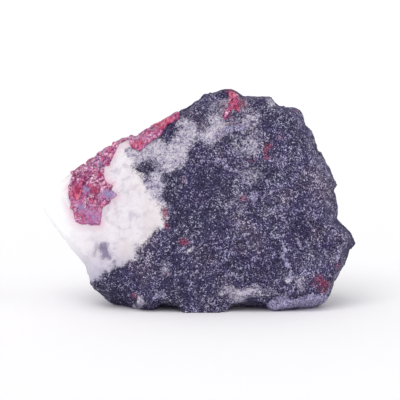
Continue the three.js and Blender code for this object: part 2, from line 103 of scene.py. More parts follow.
# Spots are (x, y, half width, half height, strength). The haze is a white
# dusting of calcite through the dolostone.
HAZE_SPOTS = (
    (-3.4, 33.1, 1.8, 3.6, 1.0), (-4.9, 30.5, 3.0, 1.7, 0.9),
    (-5.9, 28.9, 1.1, 1.5, 0.9), (1.3, 34.6, 1.9, 1.8, 1.0), (3.7, 36.8, 1.5, 1.9, 0.8),
    (-10.5, 32.8, 2.8, 1.8, 0.8), (-7.5, 31.7, 3.4, 2.2, 0.8),
    (-8.6, 25.3, 1.7, 3.2, 0.9), (9.6, 26.8, 2.8, 2.4, 0.4), (21.4, 8.5, 4.4, 4.8, 0.1),
    (10.6, 38.1, 2.0, 2.6, 0.5), (9.6, 32.0, 2.2, 2.0, 0.5), (7.6, 3.5, 3.8, 1.3, 1.0),
    (-6.9, 8.3, 0.9, 1.8, 0.45), (-2.4, 12.1, 0.9, 0.7, 0.6),
    (-13.3, 10.7, 1.5, 1.0, 0.8), (-12.1, 1.5, 1.0, 1.3, 1.2),
    (19.9, 5.6, 0.9, 1.4, 0.5), (17.6, 6.2, 0.6, 0.7, 0.9), (14.2, 42.1, 1.0, 1.5, 0.9),
    (-3.8, 37.8, 1.4, 1.2, 0.4), (1.9, 38.8, 3.0, 2.4, 0.3), (6.9, 41.8, 3.0, 1.6, 0.3),
    (-11.3, 15.3, 1.1, 0.9, 0.7), (-12.2, 33.9, 2.2, 2.0, 1.0),
    (-12.2, 31.2, 1.8, 1.8, 0.8), (-2.2, 36.3, 1.4, 1.6, 0.7), (-14.4, 32.2, 2.2, 1.5, 1.3),
)
# Darker places on the dolostone: dark rock, and painted shade in its recesses, along
# its underside at the lower left and over the lower middle, which faces down. Where
# the strength is below 0 they are paler, painted light on the right, which faces
# the light.
DARK_SPOTS = (
    (-11.6, 28.1, 1.6, 1.5, 1.0), (-6.5, 35.3, 2.0, 1.6, 0.3),
    (19.9, 15.6, 3.4, 3.0, 0.7), (-17.0, 1.8, 4.6, 1.5, 0.9), (3.2, 28.3, 1.8, 1.1, 0.5),
    (-1.6, 30.8, 1.8, 1.5, 0.5), (19.7, 25.2, 3.0, 2.0, 0.3),
    (-0.6, 11.7, 7.0, 4.0, 0.1), (4.3, 7.9, 6.0, 3.0, 0.1), (-2.0, 21.5, 4.5, 4.5, 0.35),
    (21.4, 9.0, 5.0, 6.0, -0.4), (19.0, 27.0, 7.0, 9.0, -0.35), (25.0, 24.0, 3.0, 12.0, -0.4),
)
# Red cinnabar soaked into the stone.
STAIN_SPOTS = (
    (-7.3, 19.3, 0.8, 0.9, 1.0), (-6.9, 17.3, 0.9, 0.8, 1.0),
    (-3.9, 13.7, 0.9, 0.7, 0.9), (10.4, 29.7, 0.8, 0.7, 0.8),
    (13.4, 32.0, 0.8, 1.1, 1.0), (13.5, 30.6, 0.6, 0.7, 0.6), (8.8, 21.8, 0.9, 1.0, 0.7),
    (24.1, 5.4, 1.8, 1.7, 0.9), (22.5, 6.4, 1.8, 1.3, 0.45), (27.4, 8.9, 1.0, 1.4, 0.55),
    (15.5, 34.9, 1.0, 1.0, 0.4),
    (19.3, 39.6, 0.7, 1.1, 0.5), (-13.3, 2.8, 1.0, 0.8, 0.8), (6.7, 37.2, 0.9, 0.7, 0.45),
    (-0.2, 22.4, 1.1, 1.0, 0.4), (-3.5, 26.0, 1.3, 1.4, 0.4),
    (-6.8, 7.3, 1.5, 0.8, 0.45), (0.2, 43.2, 0.8, 0.6, 0.6),
    (6.6, 44.0, 1.3, 0.9, 1.2), (7.9, 41.8, 0.7, 1.5, 0.9), (4.9, 40.4, 0.8, 1.2, 0.7),
    (6.3, 38.8, 0.9, 0.6, 0.6),
)
# Grey clouds in the calcite.
CLOUD_SPOTS = (
    (-19.6, 12.8, 1.9, 1.3, 1.0), (-18.3, 11.3, 1.2, 1.1, 0.8), (-16.8, 9.8, 0.5, 0.9, 0.9),
    (-13.0, 13.3, 1.4, 0.8, 0.5), (-15.2, 9.8, 1.2, 1.0, 0.5), (-18.0, 8.8, 1.0, 0.7, 0.5),
)
# Rusty places in the haze.
RUST_SPOTS = ((3.9, 34.6, 0.7, 1.2, 0.8), (5.6, 35.8, 1.6, 1.0, 0.5), (9.4, 35.6, 1.2, 0.9, 0.35))

# Ridges, edges and cleavage steps with painted highlights where they catch the
# light, on rock that is partly bruised and pale. Lines are (points, width,
# strength).
PALE_LINES = (
    (((19.3, 40.8), (19.9, 39.8), (20.9, 36.9), (22.3, 36.1), (22.7, 34.6), (23.9, 31.7),
      (25.2, 29.8), (26.8, 26.7), (27.5, 25.0)), 0.9, 1.1),
    (((14.3, 1.0), (17.7, 2.1), (20.9, 1.9), (24.1, 1.8)), 1.8, 1.55),
    (((9.7, 25.1), (10.9, 23.9), (11.1, 22.5), (10.1, 20.9)), 0.6, 0.95),
    (((3.4, 29.9), (5.1, 28.7), (7.5, 26.7), (8.8, 25.2)), 0.6, 1.25),
    (((3.0, 34.7), (5.8, 35.8), (8.4, 36.7)), 1.0, 1.0),
    (((15.5, 13.6), (16.2, 11.9), (15.8, 10.5), (16.9, 9.0), (17.5, 6.3)), 0.3, 1.4),
    (((13.8, 12.1), (14.9, 10.5)), 0.3, 1.05),
    (((18.7, 13.9), (19.7, 13.6)), 0.4, 1.3),
    (((25.0, 12.4), (24.7, 9.7)), 0.25, 1.1),
    (((26.6, 10.7), (27.4, 11.3), (28.3, 11.5)), 0.25, 1.1),
    (((7.2, 17.5), (7.1, 14.7)), 0.35, 0.95),
    (((9.8, 10.3), (11.0, 10.8)), 0.4, 1.05),
    (((-9.9, 2.3), (-8.4, 3.2), (-7.1, 4.3)), 0.4, 1.1),
)

# Markings on the cinnabar: where it glows red, where it has a painted steely
# reflection, where its faces are large and smooth, and where it lies deep, with
# painted shade.
GLOW_SPOTS = (
    (-24.8, 23.0, 1.2, 1.5, 1.0), (-21.0, 24.1, 1.0, 1.1, 1.0),
    (-23.5, 24.0, 2.4, 1.1, 0.5), (-18.0, 25.4, 1.2, 1.1, 0.6),
    (-24.9, 18.9, 1.0, 1.9, 0.4), (-12.4, 32.9, 2.6, 1.7, 0.75),
    (-7.9, 37.1, 1.4, 1.2, 0.9), (-6.4, 38.2, 1.4, 1.2, 0.8),
    (-5.0, 39.3, 1.2, 1.1, 0.4), (6.1, 43.1, 1.2, 1.2, 0.8), (6.5, 41.0, 1.2, 1.6, 0.8),
)
STEEL_SPOTS = (
    (-22.9, 24.1, 0.9, 1.1, 1.0), (-24.0, 20.6, 0.9, 1.2, 0.9),
    (-18.3, 23.0, 2.1, 1.0, 1.0), (-20.2, 29.6, 0.8, 1.6, 0.9),
    (-21.3, 18.7, 2.4, 1.8, 0.5), (-19.5, 32.0, 0.8, 0.7, 0.7),
    (-22.2, 29.8, 1.1, 0.9, 0.5), (-15.9, 34.7, 1.6, 0.7, 0.5),
    (-9.3, 36.4, 0.8, 0.7, 0.6),
)
PLATE_SPOTS = (
    (-21.3, 18.7, 2.4, 1.9, 1.2), (-18.4, 23.0, 1.9, 0.8, 1.0),
    (-22.9, 24.1, 0.8, 1.0, 0.8), (-24.0, 20.6, 0.8, 1.1, 0.8),
    (-15.9, 34.7, 1.3, 0.7, 0.6), (-11.7, 33.8, 3.0, 1.8, 0.5), (-6.6, 37.9, 2.2, 1.6, 0.6),
)
DEEP_SPOTS = (
    (-24.4, 25.4, 1.8, 1.2, 1.0), (-19.7, 27.5, 0.8, 1.1, 0.9),
    (-17.9, 32.0, 1.1, 1.1, 0.8), (-18.0, 29.5, 0.8, 1.1, 0.8),
    (-24.6, 27.1, 1.2, 0.9, 0.6), (-5.0, 37.8, 0.6, 0.9, 0.8),
    (-20.1, 22.1, 1.4, 0.5, 0.5), (-13.6, 31.8, 0.9, 0.6, 0.6),
    (6.4, 41.3, 2.5, 3.5, 0.5), (-8.0, 36.8, 5.0, 1.8, 0.5), (-4.0, 39.5, 1.0, 1.6, 0.5),
)


# --- Whole-array noise

CORNERS = np.array([(i, j, k) for i in (0, 1) for j in (0, 1) for k in (0, 1)])
NEIGHBOURS = np.array([(i, j, k) for i in (-1, 0, 1) for j in (-1, 0, 1) for k in (-1, 0, 1)])


def cell_values(cells, salt):
    """A value from 0 to 1 for each whole-number cell. Its three numbers are
    multiplied by large odd factors, mixed bit by bit, and the low bits kept."""
    n = cells.astype(np.int64)
    mixed = n[:, 0] * 73856093 ^ n[:, 1] * 19349663 ^ n[:, 2] * 83492791
    mixed = (mixed ^ (salt * 2654435761)) & 0xFFFFFFFF
    mixed = ((mixed ^ (mixed >> 13)) * 1274126177) & 0xFFFFFFFF
    mixed = ((mixed ^ (mixed >> 16)) * 668265263) & 0xFFFFFFFF
    return ((mixed ^ (mixed >> 15)) & 0xFFFFFF) / 0x1000000


def smooth_noise(points, size, salt):
    """Noise from -1 to 1: random values at the corners of cubes of the given
    size, blended by the s-curve 6t^5 - 15t^4 + 10t^3 along each axis."""
    scaled = points / size
    base = np.floor(scaled)
    part = scaled - base
    curve = part ** 3 * (part * (part * 6 - 15) + 10)
    total = np.zeros(len(points))
    for corner in CORNERS:
        share = np.where(corner, curve, 1 - curve).prod(axis=1)
        total += share * (2 * cell_values(base + corner, salt) - 1)
    return total


def layered_noise(points, size, layers, salt):
    """Noise laid over itself: each layer is half the size and half the height
    of the one before, and the sum is divided by the sum of the heights."""
    heights = [0.5 ** i for i in range(layers)]
    sums = sum(h * smooth_noise(points, size * h, salt + i) for i, h in enumerate(heights))
    return sums / sum(heights)


def broken_facets(points, size, salt):
    """Height of a surface broken into flat chips. Space is shared out to the
    nearest of scattered points, one to a cube of the given size, and each
    share has its own level and its own tilt: height = level + tilt . offset.
    Also gives each share's own tint, and the distance to the second nearest
    point less that to the nearest, which falls to 0 where two shares meet."""
    scaled = points / size
    base = np.floor(scaled)
    nearest, second = np.full((2, len(points)), np.inf)
    height, tint = np.zeros((2, len(points)))
    for step in NEIGHBOURS:
        cell = base + step
        jitter = np.stack([cell_values(cell, salt + i) for i in range(3)], axis=1)
        offset = scaled - cell - jitter
        distance = (offset ** 2).sum(axis=1)
        tilt = np.stack([cell_values(cell, salt + 3 + i) for i in range(3)], axis=1) - 0.5
        level = cell_values(cell, salt + 6) - 0.5
        closer = distance < nearest
        second = np.where(closer, nearest, np.minimum(second, distance))
        nearest = np.where(closer, distance, nearest)
        height = np.where(closer, level * 0.5 + (tilt * offset).sum(axis=1), height)
        tint = np.where(closer, cell_values(cell, salt + 7), tint)
    return height, tint, np.sqrt(second) - np.sqrt(nearest)


def smooth_step(values, low, high):
    """0 below low and 1 above high, along 3t^2 - 2t^3 between."""
    part = np.clip((values - low) / (high - low), 0, 1)
    return part * part * (3 - 2 * part)


# --- Masks on the face


def face_places(points):
    """Places on the leaning face, in millimetres: the points less the face's
    origin, turned forward by the lean about the x axis."""
    moved = points - FACE_ORIGIN
    sine, cosine = math.sin(LEAN), math.cos(LEAN)
    up = moved[:, 1] * sine + moved[:, 2] * cosine
    out = -moved[:, 1] * cosine + moved[:, 2] * sine
    return np.stack([moved[:, 0], up, out], axis=1)


def wavered(face):
    """Places on the face pushed aside by two sizes of noise, so that markings
    laid out by plain rounds and lines come out ragged."""
    push = np.stack([
        0.9 * layered_noise(face, size=2.6, layers=2, salt=71 + 4 * i)
        + 0.35 * smooth_noise(face, size=0.8, salt=79 + i) for i in range(2)], axis=1)
    return face[:, :2] + push


def line_distance(places, line):
    """Least distance to a bent line: for each stretch a to b, the point is
    dropped on it at t = (p - a) . (b - a) / |b - a|^2, kept from 0 to 1."""
    least = np.full(len(places), np.inf)
    for start, end in zip(line, line[1:]):
        start, along = np.array(start), np.array(end) - np.array(start)
        t = np.clip((places - start) @ along / (along @ along), 0, 1)
        gap = np.linalg.norm(places - start - t[:, None] * along, axis=1)
        least = np.minimum(least, gap)
    return least


def line_reach(places, line):
    """x of the bent line at each point's height, by straight interpolation."""
    x, y = np.array(line)[::-1].T
    return np.interp(places[:, 1], y, x)


def spots(places, listed):
    """Sum of soft spots: strength times e to the power -1.1 r^2, where r is
    the distance from the middle in half widths and half heights. A spot has a
    third of its strength left where r is 1."""
    total = np.zeros(len(places))
    for x, y, half_width, half_height, strength in listed:
        r2 = ((places[:, 0] - x) / half_width) ** 2 + ((places[:, 1] - y) / half_height) ** 2
        total += strength * np.exp(-1.1 * r2)
    return total


def pale_lines(places):
    """The strongest pale line at each point: its strength inside half the width,
    fading to nothing over another half width and a fifth of a millimetre."""
    total = np.zeros(len(places))
    for line, width, strength in PALE_LINES:
        fade = width / 2 + LINE_FADE
        part = np.clip((width / 2 + fade - line_distance(places, line)) / fade, 0, 1)
        total = np.maximum(total, strength * part)
    return total


def calcite_depth(face):
    """Millimetres inside the calcite, below 0 in the dolostone: the signed
    distance to the calcite's line, which slants with depth and wavers."""
    slant = CALCITE_SKEW * (face[:, 2] - CALCITE_LEVEL)
    places = np.stack([face[:, 0] - slant, face[:, 1]], axis=1)
    side = np.where(places[:, 0] < line_reach(places, CALCITE_LINE), 1.0, -1.0)
    waver = (0.9 * layered_noise(face, size=3.2, layers=3, salt=40)
             + 0.5 * smooth_noise(face, size=0.9, salt=47))
    return side * line_distance(places, CALCITE_LINE) + waver


def stone_masks(points, crust_gap):
    """Strength of each marking for the stone's material, from 0 to 1 or somewhat
    over, and of the shade from -1 to 1, which is painted shade and dark rock
    above 0 and painted light below it: the sum of its spots or lines, faded
    out behind the face, since most are on the front alone. The pale lines are
    painted highlights on ridges that catch the light, on partly bruised rock.
    The haze also has weak patches all round and a rim along the upper part of
    the calcite, and gives way where the rock is dark or shaded. The blush is a
    painted glow, the calcite reddened by light from the crust, within 1.7 mm
    of it. The calcite has painted light at its far end and painted shade at
    its foot."""
    face = face_places(points)
    places = wavered(face)
    _, up, out = face.T
    front = smooth_step(out, low=2.0, high=7.0)
    calcite = np.clip(0.5 + calcite_depth(face) / CALCITE_BORDER, 0, 1)
    patchy = layered_noise(face, size=7.0, layers=3, salt=61)
    patchy = smooth_step(patchy, low=0.05, high=0.6) * 0.2
    rim = smooth_step(calcite, low=0.0, high=0.45) * smooth_step(up, low=13.0, high=24.0)
    shade = spots(places, DARK_SPOTS) * front
    haze = spots(places, HAZE_SPOTS) * smooth_step(front, low=0.5, high=0.7)
    haze = haze + patchy + 0.6 * rim - 0.7 * np.maximum(shade, 0)
    stain = spots(places, STAIN_SPOTS) * smooth_step(out, low=0.0, high=4.0)
    return {
        "calcite": calcite,
        "haze": np.clip(haze, 0, 1.2),
        "pale": pale_lines(places) * front,
        "shade": np.clip(shade, -1, 1),
        "stain": np.clip(stain, 0, 1),
        "cloud": np.clip(spots(places, CLOUD_SPOTS) * front, 0, 1),
        "blush": smooth_step(-crust_gap, low=-1.7, high=-0.2),
        "far_end": smooth_step(-face[:, 0], low=19.0, high=30.0),
        "foot": smooth_step(-up, low=-14.0, high=-5.0),
        "rust": np.clip(spots(places, RUST_SPOTS) * front, 0, 1),
    }


def cinnabar_masks(points):
    """Where the cinnabar glows, has a painted steely reflection, lies deep in
    painted shade and has large faces, from 0 to 1: the sums of spots at places
    that waver half as much as the stone's."""
    face = face_places(points)
    places = 0.5 * (wavered(face) + face[:, :2])
    return {name: np.clip(spots(places, listed), 0, 1) for name, listed in (
        ("glow", GLOW_SPOTS), ("steel", STEEL_SPOTS), ("deep", DEEP_SPOTS),
        ("plate", PLATE_SPOTS))}


# --- Meshes

GOLDEN_RATIO = 0.6180339887
# Least number of points whose distances are worked out at a time.
BLOCK = 1000


def rows(items, name, width=3, kind=float):
    """One row of numbers for each of a mesh's items."""
    values = np.empty(len(items) * width, kind)
    items.foreach_get(name, values)
    return values.reshape(-1, width)


def merged_node(name):
    """Corner points in millimetres and triangles of a CAD node, its loose
    triangles joined where their corners fall together."""
    mesh = next(o for o in bpy.data.objects if o.get("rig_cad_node") == name).data
    mesh.calc_loop_triangles()
    corners = rows(mesh.loop_triangles, "vertices", kind=int)
    keys = np.round(rows(mesh.vertices, "co") / MM, 4)
    places, back = np.unique(keys, axis=0, return_inverse=True)
    triangles = back.ravel()[corners]
    sound = (triangles != np.roll(triangles, 1, axis=1)).all(axis=1)
    return places, triangles[sound]


def outward(points, triangles):
    """Unit normals at the corner points: the sum of the normals of the
    triangles that meet there, each weighed by its area."""
    a, b, c = (points[triangles[:, i]] for i in range(3))
    faces = np.cross(b - a, c - a)
    total = np.zeros_like(points)
    for i in range(3):
        np.add.at(total, triangles[:, i], faces)
    return total / np.maximum(np.linalg.norm(total, axis=1), 1e-12)[:, None]


def joined(parts):
    """One list of points and one of triangles from several."""
    counts = np.cumsum([0] + [len(p) for p, _ in parts[:-1]])
    points = np.concatenate([p for p, _ in parts])
    triangles = np.concatenate([t + n for (_, t), n in zip(parts, counts)])
    return points, triangles


def in_scene(name, data):
    """A new object at the origin, put into the scene."""
    made = bpy.data.objects.new(name, data)
    bpy.context.scene.collection.objects.link(made)
    return made


def mesh_object(name, points, faces):
    """A new mesh object from lists of corner points and faces."""
    mesh = bpy.data.meshes.new(name)
    mesh.from_pydata(points, [], faces)
    mesh.update()
    return in_scene(name, mesh)


def evened(name, points, triangles, size):
    """The outer skin of the joined solids as an even net of small squares. A
    sheet of rays or a grid wrapped round would stretch over the ledges and
    the undercut crust, so the solids are measured out in cubes instead."""
    rough = mesh_object("rough", points.tolist(), triangles.tolist())
    remesh = rough.modifiers.new("even", "REMESH")
    remesh.mode = "VOXEL"
    remesh.voxel_size = size
    seen = rough.evaluated_get(bpy.context.evaluated_depsgraph_get())
    mesh = bpy.data.meshes.new_from_object(seen)
    bpy.data.objects.remove(rough)
    mesh.name = name
    return in_scene(name, mesh)


def scattered_on(points, triangles, spacing):
    """Points spread over the triangles. A triangle of area A gets A / spacing^2
    of them, rounded up: the i-th of n lies sqrt((i + 1/2) / n) of the way from
    its first corner to the far side, and along that side by the golden ratio's
    multiples."""
    a, b, c = (points[triangles[:, i]] for i in range(3))
    area = np.linalg.norm(np.cross(b - a, c - a), axis=1) / 2
    counts = np.ceil(area / spacing ** 2).astype(int)
    owner = np.repeat(np.arange(len(triangles)), counts)
    order = np.arange(len(owner)) - np.repeat(np.cumsum(counts) - counts, counts) + 0.5
    across = np.sqrt(order / counts[owner])[:, None]
    along = ((order * GOLDEN_RATIO) % 1)[:, None]
    side = b[owner] + along * (c[owner] - b[owner])
    return a[owner] + across * (side - a[owner])


def gap_to(points, cloud, reach):
    """Distance to the nearest point of a cloud, from |a - b|^2 = a^2 + b^2 - 2ab
    in blocks of points, and the reach where it is more than that."""
    gaps = np.full(len(points), reach)
    low, high = points.min(axis=0) - reach, points.max(axis=0) + reach
    cloud = cloud[((cloud > low) & (cloud < high)).all(axis=1)]
    low, high = cloud.min(axis=0) - reach, cloud.max(axis=0) + reach
    near = np.flatnonzero(((points > low) & (points < high)).all(axis=1))
    squares = (cloud ** 2).sum(axis=1)
    for block in np.array_split(near, max(1, len(near) // BLOCK)):
        part = points[block]
        d2 = (part ** 2).sum(axis=1)[:, None] + squares - 2 * part @ cloud.T
        gaps[block] = np.minimum(np.sqrt(np.maximum(d2.min(axis=1), 0)), reach)
    return gaps


def store(mesh, name, values):
    """Keeps one number for each point of a mesh, for its material."""
    layer = mesh.attributes.new(name, "FLOAT", "POINT")
    layer.data.foreach_set("value", values.astype(np.float32))


# --- Materials

MATH, MIX, RANGE = "ShaderNodeMath", "ShaderNodeMix", "ShaderNodeMapRange"
NOISE, CELLS, RAMP = "ShaderNodeTexNoise", "ShaderNodeTexVoronoi", "ShaderNodeValToRGB"
SPLIT, BUMP = "ShaderNodeSeparateColor", "ShaderNodeBump"

# Inputs given by their numbers. Each node works on its input 0. A range gives its
# at-low and at-high values, 0 and 1 unless set, at the low and high ends. A mix
# lays one colour over another by its input 0, and vectors are its inputs 4 and 5.
LOW, HIGH, AT_LOW, AT_HIGH = 1, 2, 3, 4
UNDER, OVER = 6, 7
PAINT = {"out": 2, "data_type": "RGBA"}


def add_node(tree, kind, inputs=None, out=0, stops=(), **settings):
    """Adds a node, sets its properties, links or fills its inputs and gives
    back one of its outputs. Stops are a colour ramp's places and colours, its
    two ends first."""
    node = tree.nodes.new(kind)
    for name, value in settings.items():
        setattr(node, name, value)
    for name, value in (inputs or {}).items():
        if isinstance(value, bpy.types.NodeSocket):
            tree.links.new(value, node.inputs[name])
        else:
            node.inputs[name].default_value = value
    for i, (place, colour) in enumerate(stops):
        ramp = node.color_ramp.elements
        stop = ramp[i] if i < 2 else ramp.new(place)
        stop.position, stop.color = place, (*colour, 1)
    return node.outputs[out] if node.outputs else node


def weighed_sum(tree, start, *terms):
    """The start plus each term's value times its weight."""
    total = start
    for value, weight in terms:
        total = add_node(tree, MATH, {0: value, 1: weight, 2: total}, operation="MULTIPLY_ADD")
    return total


def between(dark, pale, share):
    """A colour part of the way from one to the other."""
    return tuple(a + share * (b - a) for a, b in zip(dark, pale))


def new_material(name, marks=()):
    """An empty material with its place in millimetres and its vertex marks."""
    made = bpy.data.materials.new(name)
    made.use_nodes = True
    tree = made.node_tree
    tree.nodes.clear()
    place = add_node(tree, "ShaderNodeTexCoord", out="Object")
    mm = add_node(tree, "ShaderNodeMapping", {"Vector": place, "Scale": (1000, 1000, 1000)})
    return made, tree, mm, {
        mark: add_node(tree, "ShaderNodeAttribute", out="Fac", attribute_name=mark)
        for mark in marks
    }


def stone_material(look):
    """Sugary dolostone passing into milky calcite: matt violet-black grains a
    fifth of a millimetre wide with few bright ones among them, which are
    painted glints, a white dusting of calcite in wisps, red cinnabar stains
    that are soaked in between the grains, and a waxy white that lets a little
    light in."""
    made, tree, mm, marks = new_material("sugary dolostone and milky calcite", (
        "calcite", "haze", "pale", "shade", "stain", "cloud", "blush", "far_end", "foot",
        "rust"))
    # Real grains are 0.1 to 0.6 mm wide. The smallest would not show, so none is
    # drawn under 0.18 mm.
    grains = add_node(tree, CELLS, {"Vector": mm, "Scale": 1 / 0.18}, "Color")
    grain = add_node(tree, SPLIT, {0: grains}, "Red")
    other = add_node(tree, SPLIT, {0: grains}, "Green")
    specks = add_node(tree, NOISE, {"Vector": mm, "Scale": 1 / 0.3, "Detail": 1.0,
                                    "Roughness": 0.6})
    drift = add_node(tree, NOISE, {"Vector": mm, "Scale": 1 / 2.2, "Detail": 5.0,
                                   "Roughness": 0.68, "Distortion": 0.6})
    broad = add_node(tree, NOISE, {"Vector": mm, "Scale": 1 / 7.0, "Detail": 3.0})
    # Painted glints: one grain in ten glints, and more strongly where the drift is high.
    most = add_node(tree, RANGE, {0: drift, LOW: 0.38, HIGH: 0.64, AT_LOW: 0.6, AT_HIGH: 1.3})
    glint = add_node(tree, RANGE, {0: other, LOW: 0.9, HIGH: 0.96, AT_HIGH: most})
    # Hairline cracks and cleavage steps that catch the light: where a noise
    # passes through its middle value.
    waves = add_node(tree, NOISE, {"Vector": mm, "Scale": 1 / 1.7, "Detail": 3.0,
                                   "Roughness": 0.6, "Distortion": 1.0})
    hairs = add_node(tree, MATH, {0: waves, 1: 0.5, 2: 0.02}, operation="COMPARE")
    patches = add_node(tree, RANGE, {0: drift, LOW: 0.45, HIGH: 0.53})
    hairs = add_node(tree, MATH, {0: hairs, 1: patches}, operation="MULTIPLY")

    # The rock's tone runs from shadow to glint, most of it near the rock's colour,
    # and its cast passes from bluish through violet to rosy over a few millimetres.
    # The shade mark lowers the tone with painted shade, and raises it with painted
    # light where it is below 0.
    tone = weighed_sum(tree, look.paleness - 1.4, (grain, 0.9), (specks, 1.0), (drift, 0.3),
                       (broad, 0.35), (glint, 0.6), (hairs, 0.6), (marks["shade"], -0.3))
    rock = add_node(tree, RAMP, {"Fac": tone}, stops=(
        (0.0, look.rock_shadow), (1.0, between(look.rock_glint, (1, 1, 1), 0.3)),
        (0.2, between(look.rock_shadow, look.rock, 0.66)), (0.45, look.rock),
        (0.6, between(look.rock, look.rock_glint, 0.11)),
        (0.74, between(look.rock, look.rock_glint, 0.3)),
        (0.87, between(look.rock, look.rock_glint, 0.7))))
    hue = add_node(tree, RAMP, {"Fac": broad}, stops=(
        (0.4, linear("#ecf0f6")), (0.62, linear("#faf3f6")), (0.5, linear("#e8e6fd"))))
    rock = add_node(tree, MIX, {0: 1.0, UNDER: rock, OVER: hue}, **PAINT,
                    blend_type="MULTIPLY")

    # Sums of the fine noises, about 0 on the average, that break up every edge.
    # The veil decides how white the dusting is, and lets the rock show through.
    soft = weighed_sum(tree, -2.45, (specks, 1.7), (drift, 3.2))
    fray = weighed_sum(tree, soft, (grain, 0.5), (glint, 0.3))
    wisps = add_node(tree, NOISE, {"Vector": mm, "Scale": 1 / 1.2, "Detail": 6.0,
                                   "Roughness": 0.8, "Distortion": 2.2})
    veil = weighed_sum(tree, -1.75, (wisps, 3.1), (soft, 0.25), (grain, 0.4))
    dusted = weighed_sum(tree, -0.03, (marks["haze"], 1.2), (veil, 0.5))
    dusted = add_node(tree, RANGE, {0: dusted, LOW: 0.18, HIGH: 0.7, AT_HIGH: 0.94})
    paleness = weighed_sum(tree, 0.47, (veil, 1.45), (marks["haze"], 0.26))
    dust = add_node(tree, RAMP, {"Fac": paleness}, stops=(
        (0.0, look.rock), (1.0, look.calcite), (0.32, between(look.rock, look.dusting, 0.5)),
        (0.54, look.dusting), (0.74, between(look.rock_glint, look.calcite, 0.1))))
    rock = add_node(tree, MIX, {0: dusted, UNDER: rock, OVER: dust}, **PAINT)
    rusty = add_node(tree, MATH, {0: marks["rust"], 1: dusted}, operation="MULTIPLY")
    rock = add_node(tree, MIX, {0: rusty, UNDER: rock, OVER: (*look.rust, 1)}, **PAINT)
    # Painted highlights on the ridges that catch the light, on partly bruised rock.
    bruised_and_lit = weighed_sum(tree, fray, (marks["pale"], 1.2))
    bruised_and_lit = add_node(tree, RANGE, {0: bruised_and_lit, LOW: 0.95, HIGH: 1.75, AT_HIGH: 0.9})
    bruise_and_highlight = add_node(tree, RAMP, {"Fac": other}, stops=(
        (0.0, look.rock), (0.95, look.bruise_and_highlight_glint), (0.5, look.bruise_and_highlight)))
    rock = add_node(tree, MIX, {0: bruised_and_lit, UNDER: rock, OVER: bruise_and_highlight}, **PAINT)

    # The calcite is milky with cream patches, with painted light at its far end,
    # painted shade at its foot, grey in the clouds and a painted rosy glow next to
    # the crust.
    white = weighed_sum(tree, marks["calcite"], (veil, 0.3))
    white = add_node(tree, RANGE, {0: white, LOW: 0.36, HIGH: 0.64},
                     interpolation_type="SMOOTHSTEP")
    milk = add_node(tree, RAMP, {"Fac": drift}, stops=(
        (0.38, between(look.calcite, look.cloud, 0.3)),
        (0.62, between(look.calcite, (1, 1, 1), 0.3)), (0.47, look.calcite)))
    cream = add_node(tree, RANGE, {0: broad, LOW: 0.45, HIGH: 0.65, AT_HIGH: 0.5})
    milk = add_node(tree, MIX, {0: cream, UNDER: milk, OVER: (*look.cream, 1)}, **PAINT)
    # Painted light: the calcite is paler towards its far end.
    milk = add_node(tree, MIX, {
        0: marks["far_end"], UNDER: milk, OVER: (*look.far_end, 1)}, **PAINT)
    # Painted shade: the calcite is dimmed towards its foot.
    painted_foot_shade = add_node(tree, RANGE, {0: marks["foot"], AT_HIGH: 0.9})
    milk = add_node(tree, MIX, {0: painted_foot_shade, UNDER: milk, OVER: (*look.foot, 1)}, **PAINT)
    clouded = weighed_sum(tree, soft, (marks["cloud"], 1.6))
    clouded = add_node(tree, RANGE, {0: clouded, LOW: 0.5, HIGH: 1.5})
    milk = add_node(tree, MIX, {0: clouded, UNDER: milk, OVER: (*look.cloud, 1)}, **PAINT)
    # Painted glow: the calcite next to the crust is tinted rosy by red light from it.
    crust_glow_share = add_node(tree, RANGE, {0: drift, LOW: 0.35, HIGH: 0.6, AT_HIGH: 0.5})
    crust_glow_share = add_node(tree, MATH, {0: marks["blush"], 1: crust_glow_share}, operation="MULTIPLY")
    milk = add_node(tree, MIX, {0: crust_glow_share, UNDER: milk, OVER: (*look.blush, 1)}, **PAINT)
    colour = add_node(tree, MIX, {0: white, UNDER: rock, OVER: milk}, **PAINT)

    # The stains break up into grains, deep or bright red, only inside their spots.
    spotted = weighed_sum(tree, fray, (other, 0.8), (marks["stain"], 1.8))
    within = add_node(tree, RANGE, {0: marks["stain"], LOW: 0.08, HIGH: 0.4, AT_HIGH: 0.78})
    spotted = add_node(tree, RANGE, {0: spotted, LOW: 1.35, HIGH: 2.2, AT_HIGH: within})
    red = add_node(tree, RAMP, {"Fac": grain}, stops=(
        (0.1, between((0, 0, 0), look.stain, 0.4)),
        (0.95, between(look.stain, (1, 0.6, 0.8), 0.25)), (0.5, look.stain)))
    colour = add_node(tree, MIX, {0: spotted, UNDER: colour, OVER: red}, **PAINT)

    rough = add_node(tree, RANGE, {0: grain, AT_LOW: 0.45, AT_HIGH: 0.75})
    relief = weighed_sum(tree, 0.0, (grain, 0.5), (specks, 0.8))
    crisp = add_node(tree, RANGE, {0: white, AT_LOW: 1.0, AT_HIGH: 0.25})
    bumps = add_node(tree, BUMP, {"Strength": crisp, "Distance": 0.3 * MM, "Height": relief})
    lit = add_node(tree, MATH, {0: white, 1: 0.35}, operation="MULTIPLY")
    # The IOR is calcite's. Broken grains scatter most of the gloss away.
    shader = add_node(tree, "ShaderNodeBsdfPrincipled", {
        "Base Color": colour, "Roughness": rough, "IOR": 1.66, "Normal": bumps,
        "Specular IOR Level": 0.12, "Subsurface Weight": lit,
        "Subsurface Radius": (1.0, 0.9, 0.95), "Subsurface Scale": 1.2 * MM})
    add_node(tree, "ShaderNodeOutputMaterial", {"Surface": shader})
    return made


